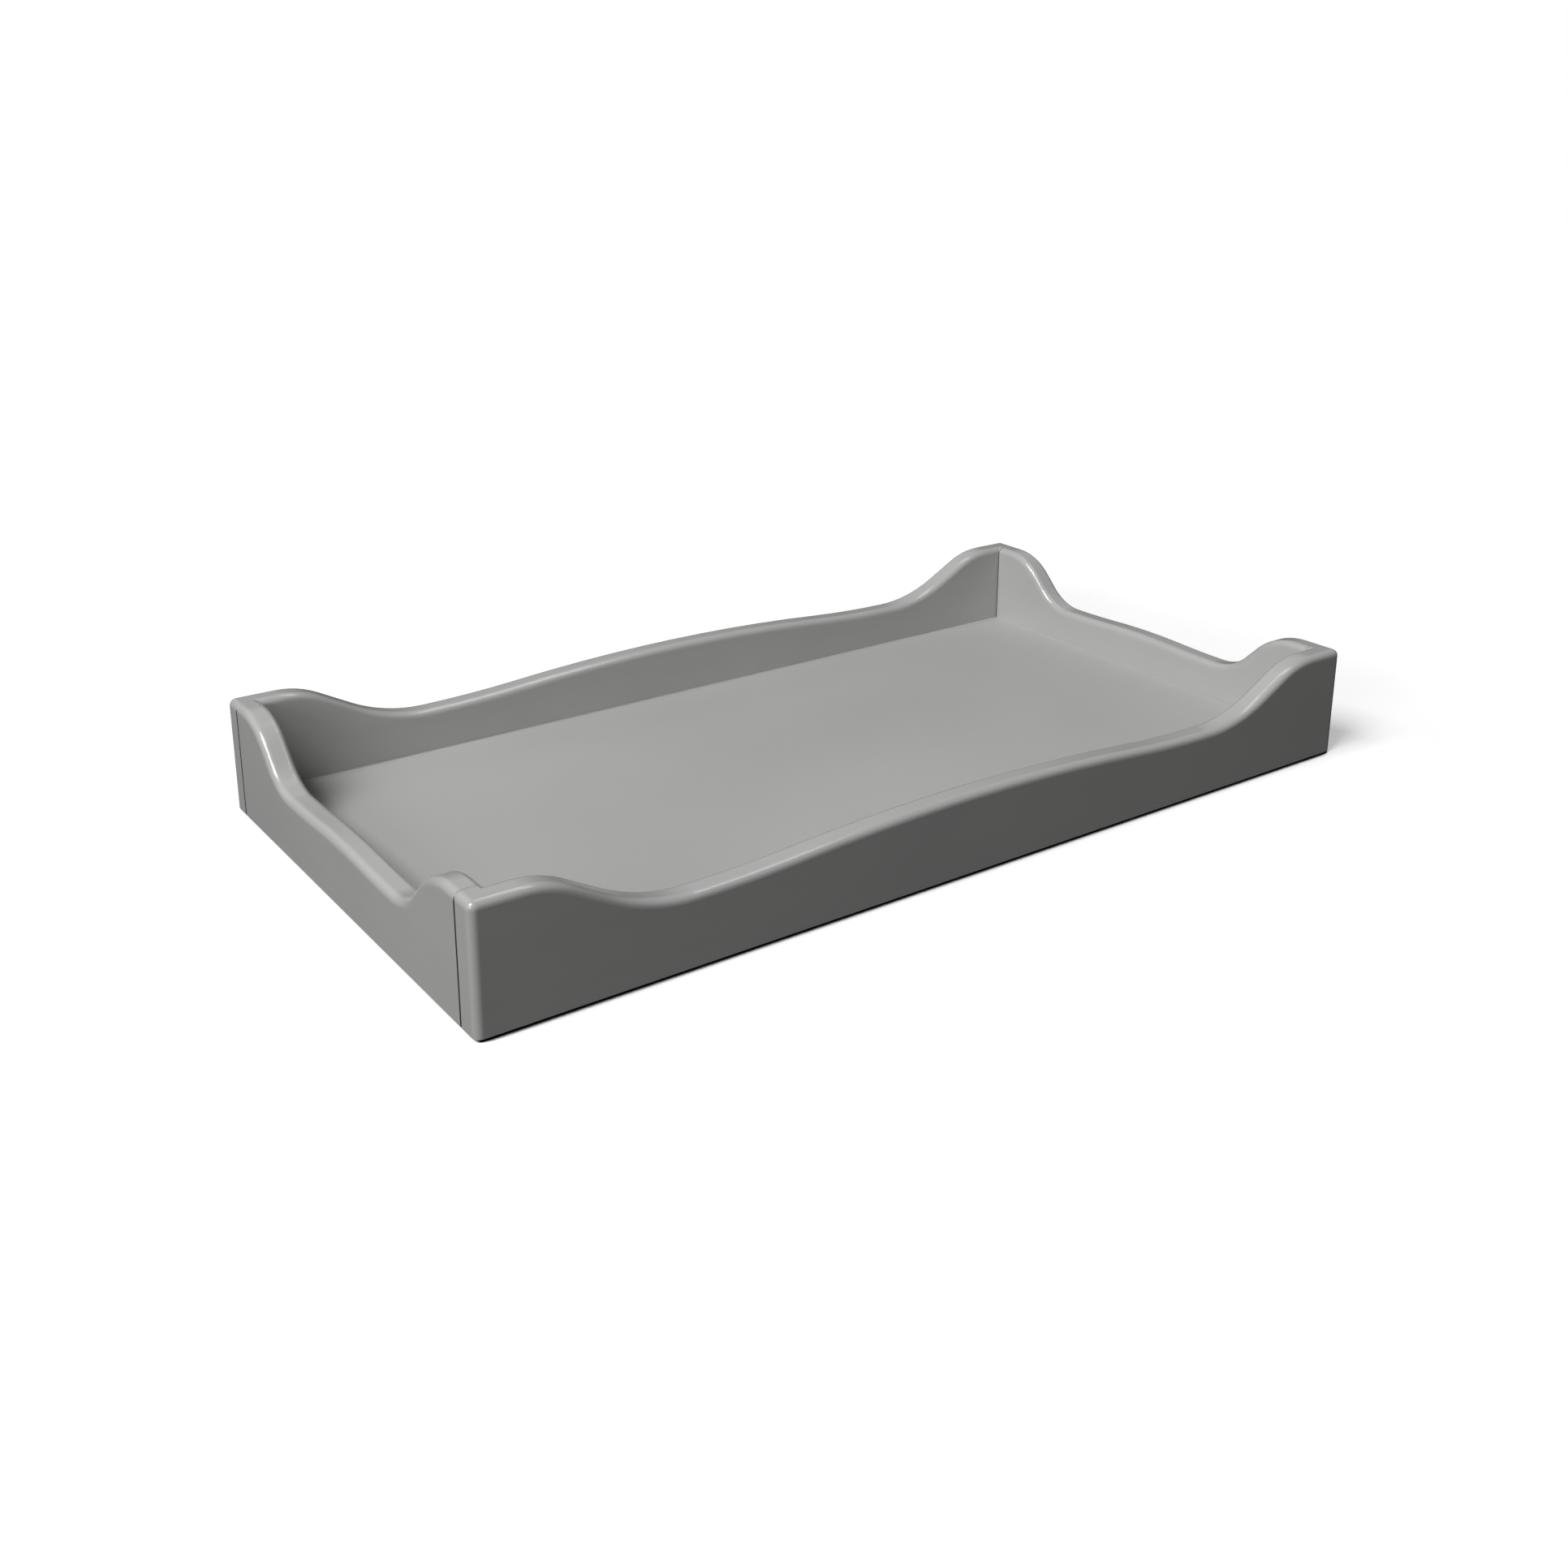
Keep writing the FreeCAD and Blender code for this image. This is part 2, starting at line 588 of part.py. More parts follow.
def make_floor_panel():
    """Plywood floor whose edges lie in the grooves of all four boards."""
    body = new_body("floor_panel")
    sketch = new_sketch(body, "floor_panel_outline", "XY_Plane")
    depth = SIZE["groove_depth"] - SIZE["panel_gap"] - SIZE["board_thickness"]
    half_x = SIZE["tray_length"] / 2 + depth
    half_y = SIZE["tray_width"] / 2 + depth
    corners = [(-half_x, -half_y), (half_x, -half_y), (half_x, half_y), (-half_x, half_y)]
    front, right, back, left = closed_outline(sketch, corners)
    set_level(sketch, front, back)
    set_upright(sketch, right, left)
    sketch.addConstraint(Sketcher.Constraint("Symmetric", front, 1, back, 1, -1, 1))
    size = "%s - 2 * (board_thickness + panel_gap - groove_depth)"
    limit(sketch, size % "tray_length", "Distance", front, 2 * half_x)
    limit(sketch, size % "tray_width", "Distance", right, 2 * half_y)
    pad(body, sketch, "panel_thickness")
    place(body, z="foot_height + panel_lift")


def make_batten(label, side):
    """Bar across the tray that backs up the floor, let into both long boards."""
    body = new_body(label)
    sketch = new_sketch(body, label + "_section", "XZ_Plane")
    half = SIZE["batten_width"] / 2
    deep = SIZE["batten_height"]
    corners = [(-half, -deep), (half, -deep), (half, 0), (-half, 0)]
    bottom, right, top, left = closed_outline(sketch, corners)
    set_level(sketch, bottom, top)
    set_upright(sketch, right, left)
    sketch.addConstraint(Sketcher.Constraint("Symmetric", top, 1, top, 2, -1, 1))
    limit(sketch, "batten_width", "Distance", top, 2 * half)
    limit(sketch, "batten_height", "Distance", right, deep)
    length = "(tray_width - 2 * board_thickness + 2 * housing_depth - 2 * housing_gap)"
    pad(body, sketch, length, reverse=True)
    dress(body, "Chamfer", label + "_eased", "Size", "batten_ease",
          lambda spot: spot.z < NEAR - deep and abs(abs(spot.x) - half) < NEAR)
    place(body, x="%d * batten_offset" % side, y="-%s / 2" % length,
          z="foot_height + panel_lift")


# ------------------------------------------------------------- corner blocks

def make_corner_block(label, angle, x_side, y_side):
    """Three-cornered block under the floor, glued and screwed to two boards.

    It is drawn with the inside corner of the tray at the origin and its legs
    along +X and +Y, which the angle turns to suit the corner.
    """
    body = new_body(label)
    sketch = new_sketch(body, label + "_outline", "XY_Plane")
    leg = SIZE["block_leg"]
    tip = SIZE["block_tip"]
    corners = [(0.0, 0.0), (leg, 0.0), (leg, tip), (tip, leg), (0.0, leg)]
    along_x, blunt_x, slant, blunt_y, along_y = closed_outline(sketch, corners)
    set_level(sketch, along_x, blunt_y)
    set_upright(sketch, blunt_x, along_y)
    join(sketch, along_x, 1, -1, 1)
    limit(sketch, "block_leg", "Distance", along_x, leg)
    limit(sketch, "block_leg", "Distance", along_y, leg)
    limit(sketch, "block_tip", "Distance", blunt_x, tip)
    limit(sketch, "block_tip", "Distance", blunt_y, tip)
    pad(body, sketch, "block_height", reverse=True)
    middle = "-block_height / 2"
    for word, mouth, seat, inwards, outwards in (
            ("x", ("0", "screw_offset"), ("block_grip", "screw_offset"), TO_PLUS_X, TO_PLUS_X),
            ("y", ("screw_offset", "0"), ("screw_offset", "block_grip"), TO_PLUS_Y, TO_PLUS_Y)):
        drill(body, "%s_hole_%s" % (label, word), "screw_shank + 2 * screw_play",
              "block_grip", mouth + (middle,), inwards)
        drill(body, "%s_counterbore_%s" % (label, word), "screw_head + 2 * screw_play",
              "block_leg", seat + (middle,), outwards)
    place(body, *corner_place(x_side, y_side, "foot_height + panel_lift"), angle=angle)


def corner_place(x_side, y_side, z):
    """Formulas of an inside corner of the tray."""
    return ("%d * (tray_length / 2 - board_thickness)" % x_side,
            "%d * (tray_width / 2 - board_thickness)" % y_side, z)


# ------------------------------------------------------------------ fixings

def make_screw(label):
    """Pan-head wood screw along +Z with the underside of its head on z = 0."""
    body = new_body(label)
    sketch = new_sketch(body, label + "_half", "XZ_Plane")
    shank = SIZE["screw_shank"] / 2
    head = SIZE["screw_head"] / 2
    tall = SIZE["screw_head_height"]
    deep = SIZE["screw_length"]
    tip = 2 * shank
    corners = [(0.0, -deep), (shank, tip - deep), (shank, 0.0), (head, 0.0), (head, tall / 2),
               (head - tall / 2, tall), (0.0, tall)]
    point, side, under, rim, bevel, top, axis = closed_outline(sketch, corners)
    set_level(sketch, under, top)
    set_upright(sketch, side, rim, axis)
    sketch.addConstraint(Sketcher.Constraint("PointOnObject", point, 1, -2))
    sketch.addConstraint(Sketcher.Constraint("PointOnObject", side, 2, -1))
    limit(sketch, "screw_shank / 2", "DistanceX", -1, 1, side, 2, shank)
    limit(sketch, "screw_head / 2", "DistanceX", -1, 1, under, 2, head)
    limit(sketch, "screw_length", "DistanceY", point, 1, -1, 1, deep)
    limit(sketch, "screw_shank", "DistanceY", point, 1, side, 1, tip)
    limit(sketch, "screw_head_height", "DistanceY", -1, 1, axis, 1, tall)
    limit(sketch, "screw_head_height / 2", "Distance", rim, tall / 2)
    limit(sketch, "screw_head_height / 2", "DistanceX", top, 1, bevel, 1, tall / 2)
    turned = body.newObject("PartDesign::Revolution", label + "_turned")
    turned.Profile = sketch
    turned.ReferenceAxis = (sketch, ["V_Axis"])
    turned.Angle = 360.0
    doc.recompute()
    long_arm = "0.6 * screw_head"
    for word, sizes in (("wide", (long_arm, "screw_recess")), ("high", ("screw_recess", long_arm))):
        cut_box(body, "%s_recess_%s" % (label, word), sizes + ("screw_recess_depth",),
                ("-%s / 2" % sizes[0], "-%s / 2" % sizes[1],
                 "screw_head_height - screw_recess_depth"))
    return body


def make_block_screws(label, x_side, y_side):
    """The two screws of a corner block, one into each board."""
    middle = "foot_height + panel_lift - block_height / 2"
    corner_x, corner_y, height = corner_place(x_side, y_side, middle)
    into_end = make_screw(label + "_into_end")
    place(into_end, "%s - %d * block_grip" % (corner_x, x_side),
          "%s - %d * screw_offset" % (corner_y, y_side), height,
          axis=Vector(0, 1, 0), angle=-90 * x_side)
    into_long = make_screw(label + "_into_long")
    place(into_long, "%s - %d * screw_offset" % (corner_x, x_side),
          "%s - %d * block_grip" % (corner_y, y_side), height,
          axis=Vector(1, 0, 0), angle=90 * y_side)
    group = doc.addObject("Part::Compound", label)
    group.Links = [into_end, into_long]
    group.Label = label
    return group


def make_dowels(label, x_side, y_side):
    """Row of dowels, one above the other, through the seam of one corner."""
    body = new_body(label)
    body.AllowCompound = True
    sketch = new_sketch(body, label + "_section", "XZ_Plane")
    radius = SIZE["dowel_diameter"] / 2
    circle = sketch.addGeometry(Part.Circle(Vector(), Vector(0, 0, 1), radius), False)
    join(sketch, circle, 3, -1, 1)
    limit(sketch, "dowel_diameter / 2", "Radius", circle, radius)
    length = "(dowel_in_long_board + dowel_in_end_board)"
    pad(body, sketch, length, reverse=True)
    dress(body, "Chamfer", label + "_ends", "Size", "dowel_chamfer",
          lambda spot: abs(math.hypot(spot.x, spot.z) - radius) < NEAR and on_end(spot))
    row = body.newObject("PartDesign::LinearPattern", label + "_row")
    row.Originals = [sketch_pad for sketch_pad in body.Group
                     if sketch_pad.TypeId in ("PartDesign::Pad", "PartDesign::Chamfer")]
    row.Direction = (origin_plane(body, "Z_Axis"), [""])
    bind(row, "Length", "(dowel_count - 1) * dowel_spacing")
    bind(row, "Occurrences", "dowel_count")
    body.Tip = row
    doc.recompute()
    seam_y = "%d * (tray_width / 2 - board_thickness)" % y_side
    place(body, "%d * (tray_length - board_thickness) / 2" % x_side,
          "%s + %d * dowel_in_long_board" % (seam_y, y_side),
          "foot_height + dowel_first_height", angle=0 if y_side < 0 else 180)


def on_end(spot):
    """True at either end of a dowel, drawn along +Y from the XZ plane."""
    length = SIZE["dowel_in_long_board"] + SIZE["dowel_in_end_board"]
    return abs(spot.y) < NEAR or abs(spot.y - length) < NEAR


def make_foot(label, x_formula, y_side):
    """Stick-on pad under the lower edge of a long board."""
    foot = doc.addObject("Part::Cylinder", label)
    foot.Label = label
    bind(foot, "Radius", "foot_diameter / 2")
    bind(foot, "Height", "foot_height")
    place(foot, x_formula, "%d * (tray_width - board_thickness) / 2" % y_side)
    return foot


# ----------------------------------------------------------------- assembly

front_board = make_long_board("front_board")
place(front_board, y="-tray_width / 2", z="foot_height")
back_board = make_long_board("back_board")
drill_pilot_holes(back_board)
place(back_board, y="tray_width / 2", z="foot_height", angle=180)

left_end_board = make_end_board("left_end_board")
place(left_end_board, x="-tray_length / 2", z="foot_height")
right_end_board = make_end_board("right_end_board")
place(right_end_board, x="tray_length / 2", z="foot_height", angle=180)

make_floor_panel()
make_batten("left_batten", -1)
make_batten("right_batten", 1)

CORNERS = (("front_left", -1, -1, 0), ("front_right", 1, -1, 90),
           ("back_right", 1, 1, 180), ("back_left", -1, 1, 270))
nodes = ["front_board", "back_board", "left_end_board", "right_end_board",
         "floor_panel", "left_batten", "right_batten"]
for corner, x_side, y_side, angle in CORNERS:
    make_corner_block(corner + "_corner_block", angle, x_side, y_side)
    make_block_screws(corner + "_block_screws", x_side, y_side)
    make_dowels(corner + "_dowels", x_side, y_side)
    nodes += [corner + "_corner_block", corner + "_block_screws", corner + "_dowels"]

for word, y_side in (("front", -1), ("back", 1)):
    for spot, formula in (("left", "foot_inset - tray_length / 2"), ("middle", "0"),
                          ("right", "tray_length / 2 - foot_inset")):
        make_foot("%s_%s_foot" % (word, spot), formula, y_side)
        nodes.append("%s_%s_foot" % (word, spot))

# -------------------------------------------------------------------- output

doc.recompute()


def check_document():
    """Stop if any object failed or any sub-part has no sound solid."""
    for thing in doc.Objects:
        bad = {"Invalid", "Error"} & set(thing.State)
        if bad:
            raise RuntimeError("%s is %s" % (thing.Label, ", ".join(bad)))
    for label in nodes:
        shape = doc.getObjectsByLabel(label)[0].Shape
        if shape.isNull() or not shape.isValid() or not shape.Solids:
            raise RuntimeError(label + " has no sound solid")


check_document()
os.makedirs("parts", exist_ok=True)
for label in nodes:
    shape = doc.getObjectsByLabel(label)[0].Shape
    shape.exportStep("parts/%s.step" % label)
    box = shape.BoundBox
    print("%-26s %2d solid %10.0f mm3  x %.1f %.1f  y %.1f %.1f  z %.1f %.1f" % (
        label, len(shape.Solids), shape.Volume, box.XMin, box.XMax, box.YMin, box.YMax,
        box.ZMin, box.ZMax))
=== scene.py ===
# %% [markdown]
# # A painted changing tray
#
# The object is a shallow wooden tray that stands on a chest of drawers and
# holds a changing pad.  Four boards with a wavy rim stand round a thin floor.
# Everything that shows is sprayed in one satin grey.  Underneath there are
# bare battens, corner blocks, screws and small rubber feet.
#
# The shapes come from the CAD model, where every board already has its real
# size and place.  The work left here is what a finisher and a photographer
# would do: paint, wood, metal and rubber, then light and a camera.

# %% Load the tray
import math

import bmesh
import bpy
from mathutils import Matrix, Vector


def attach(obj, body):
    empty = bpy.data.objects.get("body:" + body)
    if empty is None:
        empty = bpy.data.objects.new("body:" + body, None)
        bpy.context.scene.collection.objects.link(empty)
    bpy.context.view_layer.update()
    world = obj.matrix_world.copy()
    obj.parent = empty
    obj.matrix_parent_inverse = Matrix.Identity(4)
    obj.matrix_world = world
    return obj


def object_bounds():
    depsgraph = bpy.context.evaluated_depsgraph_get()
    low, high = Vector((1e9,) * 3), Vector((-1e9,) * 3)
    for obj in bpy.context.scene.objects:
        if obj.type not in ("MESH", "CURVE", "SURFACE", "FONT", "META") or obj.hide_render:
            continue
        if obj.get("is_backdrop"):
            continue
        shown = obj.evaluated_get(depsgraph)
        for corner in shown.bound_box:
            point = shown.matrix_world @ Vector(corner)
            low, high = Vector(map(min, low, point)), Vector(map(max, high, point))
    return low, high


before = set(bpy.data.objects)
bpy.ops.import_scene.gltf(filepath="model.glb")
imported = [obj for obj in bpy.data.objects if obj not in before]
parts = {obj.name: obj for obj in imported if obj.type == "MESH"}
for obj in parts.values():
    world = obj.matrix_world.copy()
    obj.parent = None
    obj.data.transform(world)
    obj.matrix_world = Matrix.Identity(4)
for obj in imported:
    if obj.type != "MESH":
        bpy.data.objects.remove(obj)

MM = 0.001

cad_box = [list(corner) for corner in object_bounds()]
print("parts:", len(parts))
print("size in mm:", [round((high - low) / MM, 1) for low, high in zip(*cad_box)])

# %% [markdown]
# ## Sorting the parts by what they are made of
#
# A cabinet maker would lay the parts out in piles: the boards and the floor go
# to the paint shop, the battens and blocks stay bare, and the screws and feet
# come out of a box.  The grain of a board runs along its length, so the long
# boards and the end boards are two piles: their grain runs in different
# directions.  Each pile then gets one finish.

# %% Piles of parts
LONG_BOARDS = ["front_board", "back_board"]
END_BOARDS = ["left_end_board", "right_end_board"]
FLOOR = ["floor_panel"]
BATTENS = ["left_batten", "right_batten"]
CORNERS = ["front_left", "front_right", "back_right", "back_left"]
BLOCKS = [corner + "_corner_block" for corner in CORNERS]
SCREWS = [corner + "_block_screws" for corner in CORNERS]
DOWELS = [corner + "_dowels" for corner in CORNERS]
FEET = [name for name in parts if name.endswith("_foot")]

piles = LONG_BOARDS + END_BOARDS + FLOOR + BATTENS + BLOCKS + SCREWS + DOWELS + FEET
print("in a pile:", len(piles), "left over:", sorted(set(parts) - set(piles)))

# %% [markdown]
# ## Sizes that the finishes need
#
# Paint and wood change at edges: a board's sawn end drinks more paint than its
# face, and the spray only reaches the top of the floor.  So the finishes must
# know where the ends and the underside are.  They are read from the parts, so
# a different tray would still be painted in the right places.

# %% Measure the boards and the floor
def extent(name):
    """Lowest and highest corner of a part, in metres."""
    spots = [vertex.co for vertex in parts[name].data.vertices]
    low = Vector([min(spot[axis] for spot in spots) for axis in range(3)])
    high = Vector([max(spot[axis] for spot in spots) for axis in range(3)])
    return low, high


front_low, front_high = extent("front_board")
panel_low, panel_high = extent("floor_panel")
HALF_LENGTH = front_high.x
HALF_WIDTH = -front_low.y
BOARD = front_high.y - front_low.y
BOARD_FOOT = front_low.z
BOARD_TOP = front_high.z
PANEL_UNDER = panel_low.z
PANEL_TOP = panel_high.z
INNER_HALF_LENGTH = HALF_LENGTH - BOARD
INNER_HALF_WIDTH = HALF_WIDTH - BOARD
print("board thickness", round(BOARD / MM, 2), "mm")
print("floor from", round(PANEL_UNDER / MM, 2), "to", round(PANEL_TOP / MM, 2), "mm")

# %% [markdown]
# ## Writing shader maths like ordinary maths
#
# A material is a network of nodes, and a network is slow to read as code.  A
# socket wrapped in a small class can be added, subtracted and multiplied with
# the usual signs, and each sign adds one Math node.  The reflected forms let a
# number stand on the left, as in 1 - mask.

# %% A socket that can be calculated with
class Wire:
    def __init__(self, network, socket):
        self.network = network
        self.socket = socket

    def __add__(self, other):
        return self.network.math("ADD", self, other)

    def __radd__(self, other):
        return self.network.math("ADD", other, self)

    def __sub__(self, other):
        return self.network.math("SUBTRACT", self, other)

    def __rsub__(self, other):
        return self.network.math("SUBTRACT", other, self)

    def __mul__(self, other):
        return self.network.math("MULTIPLY", self, other)

    def __rmul__(self, other):
        return self.network.math("MULTIPLY", other, self)


print("signs of a wire:",
      [name.strip("_") for name in vars(Wire) if name.endswith(("add__", "sub__", "mul__"))])

# %% [markdown]
# ## One way to make every node
#
# Every node is made in the same three steps: its type, its settings, then the
# values or wires of its sockets.  Settings go first, because a node's mode
# decides which sockets it has.  Colours are mixed with a Mix node, because a
# Math node would turn them grey.

# %% A network and its nodes
class Network:
    """A node tree and the ways in which nodes are added to it."""

    def __init__(self, tree):
        self.tree = tree

    def node(self, kind, settings=None, values=None, give=0):
        """Make a node and return a wire from its output called `give`."""
        made = self.tree.nodes.new(kind)
        for name, value in (settings or {}).items():
            setattr(made, name, value)
        for name, value in (values or {}).items():
            self.feed(made.inputs[name], value)
        return Wire(self, made.outputs[give])

    def feed(self, socket, value):
        if isinstance(value, Wire):
            self.tree.links.new(value.socket, socket)
        else:
            socket.default_value = value

    def math(self, operation, first, second):
        return self.node("ShaderNodeMath", {"operation": operation}, {0: first, 1: second})

    def absolute(self, value):
        return self.math("ABSOLUTE", value, 0.0)

    def blend(self, share, first, second):
        """A colour between two colours; share 0 gives the first."""
        return self.node("ShaderNodeMix", {"data_type": "RGBA"},
                         {0: share, 6: first, 7: second}, give=2)

    def step(self, value, start, end):
        """0 at start, 1 at end, smooth between; it falls if start is above end."""
        return self.node("ShaderNodeMapRange", {"interpolation_type": "SMOOTHSTEP"},
                         {"Value": value, "From Min": start, "From Max": end})


print("a network can make:", [name for name in vars(Network) if not name.startswith("_")])

# %% [markdown]
# ## A finish is a network that ends in a skin
#
# Every finish here ends in the Principled shader, which is the one shader that
# other programs understand too.  Numbers that hold all over a surface are set
# on its sockets, and only what changes from place to place is wired.

# %% A finish and how it gets onto the parts
class Finish(Network):
    """A material under construction, with its Principled shader."""

    def __init__(self, name):
        self.material = bpy.data.materials.new(name)
        self.material.use_nodes = True
        super().__init__(self.material.node_tree)
        self.skin = self.tree.nodes["Principled BSDF"]

    def surface(self, **values):
        """Set or wire sockets of the skin; Base_Color stands for Base Color."""
        for name, value in values.items():
            self.feed(self.skin.inputs[name.replace("_", " ")], value)

    def dress(self, names):
        """Give the finish to every material slot of the named parts."""
        for name in names:
            for holder in parts[name].material_slots:
                holder.material = self.material
        print(self.material.name, "on", len(names), "parts,", len(self.tree.nodes), "nodes")


print("a finish adds:", [name for name in vars(Finish) if not name.startswith("_")])

# %% [markdown]
# ## Where a pattern sits on a part
#
# Wood grain runs along a board, so its pattern has to be stretched in one
# direction.  The parts keep their real places, so Object coordinates are
# metres in the tray's own frame, and a Mapping node can squeeze them: a small
# scale along the grain gives long streaks, a large one across it fine lines.

# %% Coordinates, stretched coordinates, noise and relief
def spot_on_part(finish):
    return finish.node("ShaderNodeTexCoord", give="Object")


def axes_of(network, where):
    """The x, y and z of a place, as three wires."""
    split = network.node("ShaderNodeSeparateXYZ", {}, {"Vector": where}).socket.node
    return [Wire(network, split.outputs[axis]) for axis in "XYZ"]


def stretched(finish, scale, turn=(0.0, 0.0, 0.0), shift=(0.0, 0.0, 0.0)):
    return finish.node("ShaderNodeMapping", {},
                       {"Vector": spot_on_part(finish), "Location": shift,
                        "Rotation": turn, "Scale": scale})


def cloud(finish, where, scale, detail, rough):
    """Soft random variation between 0 and 1."""
    return finish.node("ShaderNodeTexNoise", {},
                       {"Vector": where, "Scale": scale, "Detail": detail,
                        "Roughness": rough}, give="Fac")


def relief(finish, height, depth, under=None):
    """Bumps of a real depth in metres, on top of the bumps given before."""
    values = {"Height": height, "Strength": 1.0, "Distance": depth}
    if under is not None:
        values["Normal"] = under
    return finish.node("ShaderNodeBump", {}, values)


GRAIN_ALONG_X = (1.2, 26.0, 26.0)
GRAIN_ALONG_Y = (26.0, 1.2, 26.0)
print("grain runs", round(GRAIN_ALONG_X[1] / GRAIN_ALONG_X[0], 1), "times longer than wide")

# %% [markdown]
# ## Painted shade in the corner joints
#
# The long boards cap the end boards, and a fine groove shows where they meet.
# The groove is in the shape, but it is too thin to hold as much shade as a real one,
# where dirt and unpainted wood also lie at its bottom.  So the paint gets a near-black
# mask along the joints, partly that dirt and bare wood and partly painted shade: a
# distance to the joint's plane, cut off where the joint ends.  On the top of the posts
# the groove fills with paint and the painted line nearly fades.

# %% A mask of painted shade along the joints
# The near-black colour below is painted shade in the joint grooves, with a little dirt and
# bare wood.
JOINT_SHADE_BLACK = (0.020, 0.020, 0.020, 1.0)
JOINT_CORE, JOINT_EDGE = 0.85 * MM, 1.5 * MM
JOINT_START = 0.3 * MM
FILL_LOW, FILL_HIGH = 8 * MM, 2 * MM
FILLED_SHARE = 0.9


def joint_shade_mask(finish):
    """1 along the joints where the long boards cap the end boards; it marks painted shade."""
    x, y, z = axes_of(finish, spot_on_part(finish))
    across = finish.absolute(finish.absolute(y) - INNER_HALF_WIDTH)
    over_end = finish.step(finish.absolute(x), INNER_HALF_LENGTH,
                           INNER_HALF_LENGTH + JOINT_START)
    on_top = finish.step(z, BOARD_TOP - FILL_LOW, BOARD_TOP - FILL_HIGH)
    return finish.step(across, JOINT_EDGE, JOINT_CORE) * over_end * (1 - on_top * FILLED_SHARE)


print("joint line", round(2 * JOINT_CORE / MM, 1), "mm wide")

# %% [markdown]
# ## Satin grey paint
#
# The paint is a sprayed lacquer, so it has no brush marks.  Up close it still
# is not a perfect sheet: the drops leave a fine skin like orange peel, the
# grain sinks a little as the lacquer dries, the colour clouds very slightly,
# and the gloss is uneven by a few percent.  Each of these is a layer of noise
# at its own real size.  Sawn wood drinks the first coat, so the ends of the
# long boards and the lower edges of the end boards stay a little rougher;
# that is one more mask, by place.

# %% Paint for the boards
PAINT_GREY = (0.490, 0.492, 0.482, 1.0)
PAINT_DEEP = (0.462, 0.465, 0.458, 1.0)
DRIFT_SHARE, STREAK_SHARE = 0.7, 0.3
PAINT_GLOSS = 0.18
DRIFT_DULLS, SAWN_DULLS, JOINT_DULLS = 0.06, 0.08, 0.4
PEEL_SCALE = 180.0
PEEL_DEPTH = 0.004 * MM
GRAIN_DEPTH = 0.020 * MM
PORE_DEPTH = 0.016 * MM
SAWN_REACH, SAWN_FULL = 3 * MM, 0.5 * MM
FOOT_REACH = 1 * MM


def grey_paint(name, grain, sawn_mask):
    """Satin lacquer over a board; sawn_mask gives 1 where sawn wood is below."""
    paint = Finish(name)
    here = spot_on_part(paint)
    drift = cloud(paint, here, scale=5.0, detail=3.0, rough=0.55)
    streak = cloud(paint, stretched(paint, grain), scale=1.6, detail=3.0, rough=0.5)
    peel = cloud(paint, here, scale=PEEL_SCALE, detail=1.0, rough=0.5)
    pores = cloud(paint, here, scale=900.0, detail=3.0, rough=0.7)
    sawn = sawn_mask(paint)
    joint = joint_shade_mask(paint)

    tint = paint.step(drift * DRIFT_SHARE + streak * STREAK_SHARE, start=0.35, end=0.68)
    colour = paint.blend(tint, PAINT_DEEP, PAINT_GREY)
    gloss = PAINT_GLOSS + drift * DRIFT_DULLS + sawn * SAWN_DULLS + joint * JOINT_DULLS
    skin = relief(paint, peel, PEEL_DEPTH)
    skin = relief(paint, streak, GRAIN_DEPTH, skin)
    skin = relief(paint, pores * sawn, PORE_DEPTH, skin)
    # Along the joints the colour turns near black: painted shade in the grooves.
    paint.surface(Base_Color=paint.blend(joint, colour, JOINT_SHADE_BLACK), Roughness=gloss,
                  Normal=skin, IOR=1.5, Coat_Weight=0.35, Coat_Roughness=0.11)
    return paint


def ends_of_long_board(finish):
    along = finish.absolute(axes_of(finish, spot_on_part(finish))[0])
    return finish.step(along, HALF_LENGTH - SAWN_REACH, HALF_LENGTH - SAWN_FULL)


def foot_of_end_board(finish):
    height = axes_of(finish, spot_on_part(finish))[2]
    return finish.step(height, BOARD_FOOT + FOOT_REACH, BOARD_FOOT)


grey_paint("painted_long_board", GRAIN_ALONG_X, ends_of_long_board).dress(LONG_BOARDS)
grey_paint("painted_end_board", GRAIN_ALONG_Y, foot_of_end_board).dress(END_BOARDS)

# %% [markdown]
# ## The floor: painted above, bare birch below
#
# The floor is a sheet of thin plywood, sprayed in the tray after it is glued
# in.  It is the part that gets wiped and rubbed most, so it is duller than the
# boards, and the spray mist settles unevenly on a flat sheet.  Nobody paints
# the underside: there the pale birch veneer shows, with thin brown streaks.
# One material does both, and the height of a spot chooses.  The last two
# millimetres of the top at the foot of the walls are a little darker.

# %% Finish for the floor panel
BIRCH_PALE = (0.62, 0.46, 0.30, 1.0)
BIRCH_STREAK = (0.46, 0.31, 0.18, 1.0)
WALL_FOOT_GREY = (0.430, 0.430, 0.420, 1.0)
WALL_FOOT_WIDTH, WALL_FOOT_CORE = 2.5 * MM, 0.7 * MM
SPRAY_FROM, SPRAY_FULL = 0.4 * MM, 0.8 * MM
VENEER_DEPTH = 0.03 * MM
BARE_ROUGH, VENEER_DULLS = 0.62, 0.1
FLOOR_ROUGH, MIST_DULLS, PEEL_DULLS = 0.42, 0.10, 0.03

floor_paint = Finish("painted_floor_panel")
here = spot_on_part(floor_paint)
x, y, z = axes_of(floor_paint, here)
sprayed = floor_paint.step(z, PANEL_UNDER + SPRAY_FROM, PANEL_UNDER + SPRAY_FULL)
mist = cloud(floor_paint, here, scale=3.2, detail=3.0, rough=0.5)
grain = stretched(floor_paint, GRAIN_ALONG_X)
veneer = cloud(floor_paint, grain, scale=2.4, detail=5.0, rough=0.65)
peel = cloud(floor_paint, here, scale=PEEL_SCALE, detail=2.0, rough=0.5)

